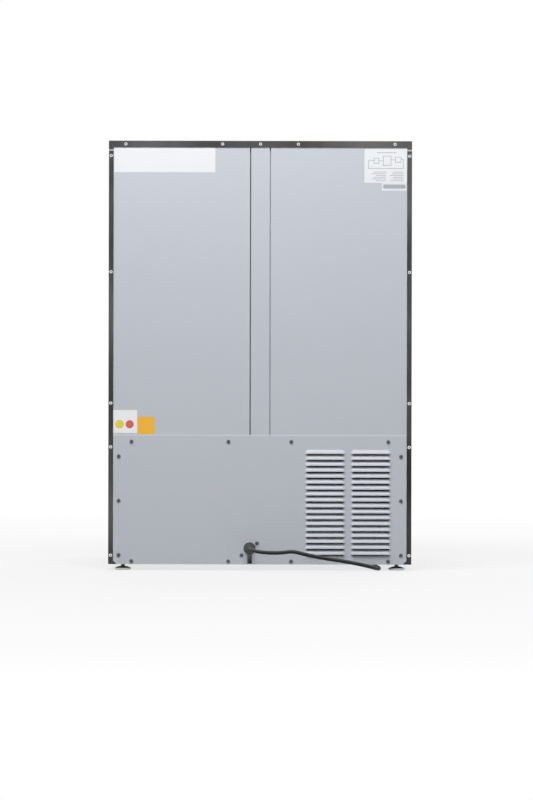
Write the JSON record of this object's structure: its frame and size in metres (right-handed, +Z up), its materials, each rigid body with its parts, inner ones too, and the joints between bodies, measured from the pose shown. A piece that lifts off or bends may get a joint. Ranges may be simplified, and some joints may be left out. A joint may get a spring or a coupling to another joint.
{
  "type": "outdoor refrigerator",
  "caption": "Undercounter outdoor refrigerator with a stainless casing, grey back, louvred service cover, hinged door, shelves, cooling circuit and supply cord.",
  "frame": {"origin": "on the floor, under the middle of the object's box without its cord", "axes": "+Z up, the door faces -Y, the service side with the louvres faces +Y"},
  "size_m": [0.595, 0.7256, 0.843],
  "materials": {
    "stainless": "brushed stainless sheet",
    "grey_sheet": "grey coated steel sheet",
    "zinc_sheet": "zinc coated steel",
    "bright_screw": "bright plated",
    "dark_screw": "dark oxide",
    "black_moulding": "black moulded",
    "foam": null,
    "white_moulding": "smooth white moulding",
    "shelf_glass": "clear toughened glass",
    "shelf_trim": "grey moulded",
    "fin_metal": "bare fins",
    "black_enamel": "black enamel",
    "copper": "drawn copper",
    "rubber": "black rubber",
    "gasket": "grey flexible seal",
    "clear_lens": "smooth lens",
    "display": "smoked lens",
    "cord_jacket": "black flexible jacket",
    "grommet": "dark grey moulded",
    "foot_metal": "zinc plated",
    "handle_metal": "brushed tube",
    "button_cap": "light grey caps"
  },
  "bodies": {
    "cabinet": {"top_cover": "stainless", "side_panel_left": "stainless", "side_panel_right": "stainless", "front_frame": "stainless", "base_pan": "zinc_sheet", "foot_blocks": "black_moulding", "back_panel_left": "grey_sheet", "back_panel_right": "grey_sheet", "back_centre_channel": "grey_sheet", "service_cover": "grey_sheet", "casing_screws": "bright_screw", "cover_screws": "dark_screw", "hinge_screws": "bright_screw", "inner_liner": "white_moulding", "cabinet_foam": "foam", "shelf_glass_lower": "shelf_glass", "shelf_glass_middle": "shelf_glass", "shelf_glass_upper": "shelf_glass", "shelf_trims": "shelf_trim", "evaporator_cover": "white_moulding", "evaporator_coil": "fin_metal", "evaporator_fan_motor": "black_enamel", "control_housing": "white_moulding", "display_lens": "display", "light_lens": "clear_lens", "toe_grille": "stainless", "compressor_feet": "rubber", "compressor": "black_enamel", "drip_tray": "black_moulding", "condenser": "fin_metal", "fan_shroud": "black_moulding", "filter_drier": "copper", "refrigerant_lines": "copper", "hinge_top": "stainless", "hinge_bottom": "stainless", "cord_grommet": "grommet", "power_cord": "cord_jacket", "power_cord_coil": "cord_jacket", "power_plug": "cord_jacket"},
    "door": {"door_panel": "stainless", "door_foam": "foam", "hinge_bushes": "white_moulding", "door_liner": "white_moulding", "door_gasket": "gasket", "handle_bar": "handle_metal", "handle_posts": "handle_metal"},
    "evaporator_fan": {"evaporator_fan": "black_moulding"},
    "condenser_fan": {"condenser_fan": "black_moulding"},
    "door_rack_lower": {"door_rack_lower": "clear_lens"},
    "door_rack_upper": {"door_rack_upper": "clear_lens"},
    "button_power": {"button_power": "button_cap"},
    "button_set": {"button_set": "button_cap"},
    "button_down": {"button_down": "button_cap"},
    "button_up": {"button_up": "button_cap"},
    "foot_front_left": {"foot_front_left": "foot_metal"},
    "foot_front_right": {"foot_front_right": "foot_metal"},
    "foot_rear_left": {"foot_rear_left": "foot_metal"},
    "foot_rear_right": {"foot_rear_right": "foot_metal"}
  },
  "joints": [
    {"name": "door_swing", "type": "hinge", "parent": "cabinet", "child": "door", "pos_m": [0.2855, -0.2595, 0.106], "axis": [0, 0, 1], "range_deg": [0, 110]},
    {"name": "rack_lower_lift", "type": "slide", "parent": "door", "child": "door_rack_lower", "axis": [0, 0, 1], "range_m": [0, 0.05]},
    {"name": "rack_upper_lift", "type": "slide", "parent": "door", "child": "door_rack_upper", "axis": [0, 0, 1], "range_m": [0, 0.05]},
    {"name": "evaporator_fan_spin", "type": "hinge", "parent": "cabinet", "child": "evaporator_fan", "pos_m": [0, 0.227, 0.69], "axis": [0, 1, 0], "continuous": true},
    {"name": "condenser_fan_spin", "type": "hinge", "parent": "cabinet", "child": "condenser_fan", "pos_m": [-0.173, 0.239, 0.108], "axis": [0, 1, 0], "continuous": true},
    {"name": "button_power_press", "type": "slide", "parent": "cabinet", "child": "button_power", "axis": [0, 1, 0], "range_m": [0, 0.0012], "stiffness_N_per_m": 400},
    {"name": "button_set_press", "type": "slide", "parent": "cabinet", "child": "button_set", "axis": [0, 1, 0], "range_m": [0, 0.0012], "stiffness_N_per_m": 400},
    {"name": "button_down_press", "type": "slide", "parent": "cabinet", "child": "button_down", "axis": [0, 1, 0], "range_m": [0, 0.0012], "stiffness_N_per_m": 400},
    {"name": "button_up_press", "type": "slide", "parent": "cabinet", "child": "button_up", "axis": [0, 1, 0], "range_m": [0, 0.0012], "stiffness_N_per_m": 400},
    {"name": "foot_front_left_screw", "type": "slide", "parent": "cabinet", "child": "foot_front_left", "axis": [0, 0, -1], "range_m": [0, 0.025]},
    {"name": "foot_front_right_screw", "type": "slide", "parent": "cabinet", "child": "foot_front_right", "axis": [0, 0, -1], "range_m": [0, 0.025]},
    {"name": "foot_rear_left_screw", "type": "slide", "parent": "cabinet", "child": "foot_rear_left", "axis": [0, 0, -1], "range_m": [0, 0.025]},
    {"name": "foot_rear_right_screw", "type": "slide", "parent": "cabinet", "child": "foot_rear_right", "axis": [0, 0, -1], "range_m": [0, 0.025]}
  ]
}
